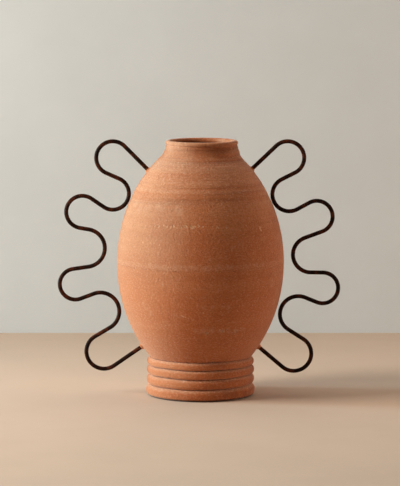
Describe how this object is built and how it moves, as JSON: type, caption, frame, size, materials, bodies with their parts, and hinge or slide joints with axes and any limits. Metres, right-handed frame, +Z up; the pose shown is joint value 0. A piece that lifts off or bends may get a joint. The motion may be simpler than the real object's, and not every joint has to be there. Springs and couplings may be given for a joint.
{
  "type": "vase with rod handles",
  "caption": "Egg-shaped terracotta vase on a foot of stacked clay coils, with a wavy bent iron rod handle bedded in the wall on each side.",
  "frame": {"origin": "centre of the underside of the foot, on the axis that the vase is turned about", "axes": "+Z up along the turning axis, +X from the left handle to the right handle as seen from the front, +Y to the back"},
  "size_m": [0.41, 0.242, 0.3719],
  "materials": {
    "terracotta": "matte unglazed clay with a pale dusty bloom",
    "clay_mortar": "rough matte clay mortar",
    "iron_rod": "blackened iron with rust-brown mottling"
  },
  "bodies": {
    "root": {"floor_slab": "terracotta", "foot_coil_1": "terracotta", "foot_coil_2": "terracotta", "foot_coil_3": "terracotta", "foot_coil_4": "terracotta", "lower_body": "terracotta", "upper_body": "terracotta", "neck_collar": "terracotta", "left_handle": "iron_rod", "right_handle": "iron_rod", "left_upper_socket": "clay_mortar", "left_lower_socket": "clay_mortar", "right_upper_socket": "clay_mortar", "right_lower_socket": "clay_mortar"}
  },
  "joints": []
}
